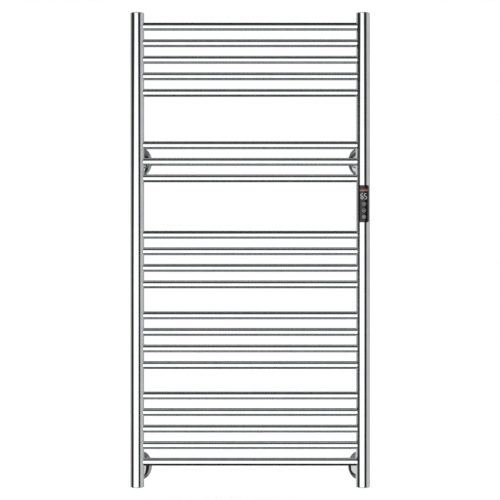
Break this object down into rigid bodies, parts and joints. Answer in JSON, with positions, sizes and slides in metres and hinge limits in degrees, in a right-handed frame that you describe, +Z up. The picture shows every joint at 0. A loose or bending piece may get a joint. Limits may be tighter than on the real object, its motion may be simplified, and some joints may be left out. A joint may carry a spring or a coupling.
{
  "type": "towel warmer rack",
  "caption": "Wall-hung electric towel warmer: chrome round bars in spaced groups between two round uprights, with a slim key controller.",
  "frame": {"origin": "on the wall plane, at the middle of the four wall plates", "axes": "+Z up, +Y into the wall, so the rack faces -Y; +X to the right as seen from the room"},
  "size_m": [0.627, 0.1402, 1.199],
  "materials": {
    "polished_tube": "mirror-polished steel tube",
    "polished_fitting": "mirror chrome plate",
    "plain_steel": "zinc-plated, satin",
    "black_plastic": "fine moulded grain",
    "black_gloss": "gloss moulded",
    "tinted_window": "tinted clear cover",
    "display_face": "segment display and light bar",
    "key_plastic": "satin with light marks",
    "rubber": "matt",
    "circuit_board": "solder resist",
    "cable_sheath": "silicone sheath"
  },
  "bodies": {
    "rack": {"post_left": "polished_tube", "post_right": "polished_tube", "bar_01": "polished_tube", "bar_02": "polished_tube", "bar_03": "polished_tube", "bar_04": "polished_tube", "bar_05": "polished_tube", "bar_06": "polished_tube", "bar_07": "polished_tube", "bar_08": "polished_tube", "bar_09": "polished_tube", "bar_10": "polished_tube", "bar_11": "polished_tube", "bar_12": "polished_tube", "bar_13": "polished_tube", "bar_14": "polished_tube", "bar_15": "polished_tube", "bar_16": "polished_tube", "bar_17": "polished_tube", "bar_18": "polished_tube", "bar_19": "polished_tube", "bar_20": "polished_tube", "bar_21": "polished_tube", "cap_top_left": "polished_fitting", "cap_top_right": "polished_fitting", "cap_bottom_left": "polished_fitting", "cap_bottom_right": "polished_fitting", "stem_upper_left": "polished_fitting", "wall_plate_upper_left": "plain_steel", "grub_screw_upper_left": "plain_steel", "stem_upper_right": "polished_fitting", "wall_plate_upper_right": "plain_steel", "grub_screw_upper_right": "plain_steel", "stem_lower_left": "polished_fitting", "wall_plate_lower_left": "plain_steel", "grub_screw_lower_left": "plain_steel", "stem_lower_right": "polished_fitting", "wall_plate_lower_right": "plain_steel", "grub_screw_lower_right": "plain_steel", "control_housing": "black_plastic", "control_seal": "rubber", "control_fascia": "black_gloss", "display_window": "tinted_window", "display_module": "display_face", "circuit_board": "circuit_board", "housing_screw_upper": "plain_steel", "housing_screw_lower": "plain_steel", "heating_cable": "cable_sheath", "cable_end_seal": "rubber", "temperature_sensor": "plain_steel", "supply_grommet": "rubber"},
    "down_key": {"key_down": "key_plastic"},
    "up_key": {"key_up": "key_plastic"},
    "power_key": {"key_power": "key_plastic"},
    "upper_left_cover": {"rosette_upper_left": "polished_fitting"},
    "upper_right_cover": {"rosette_upper_right": "polished_fitting"},
    "lower_left_cover": {"rosette_lower_left": "polished_fitting"},
    "lower_right_cover": {"rosette_lower_right": "polished_fitting"}
  },
  "joints": [
    {"name": "key_down_press", "type": "slide", "parent": "rack", "child": "down_key", "axis": [0, 1, 0], "range_m": [0, 0.0008], "stiffness_N_per_m": 400, "springref_m": -0.001},
    {"name": "key_up_press", "type": "slide", "parent": "rack", "child": "up_key", "axis": [0, 1, 0], "range_m": [0, 0.0008], "stiffness_N_per_m": 400, "springref_m": -0.001},
    {"name": "key_power_press", "type": "slide", "parent": "rack", "child": "power_key", "axis": [0, 1, 0], "range_m": [0, 0.0008], "stiffness_N_per_m": 400, "springref_m": -0.001},
    {"name": "rosette_upper_left_slide", "type": "slide", "parent": "rack", "child": "upper_left_cover", "axis": [0, -1, 0], "range_m": [0, 0.045]},
    {"name": "rosette_upper_right_slide", "type": "slide", "parent": "rack", "child": "upper_right_cover", "axis": [0, -1, 0], "range_m": [0, 0.045]},
    {"name": "rosette_lower_left_slide", "type": "slide", "parent": "rack", "child": "lower_left_cover", "axis": [0, -1, 0], "range_m": [0, 0.045]},
    {"name": "rosette_lower_right_slide", "type": "slide", "parent": "rack", "child": "lower_right_cover", "axis": [0, -1, 0], "range_m": [0, 0.045]}
  ]
}
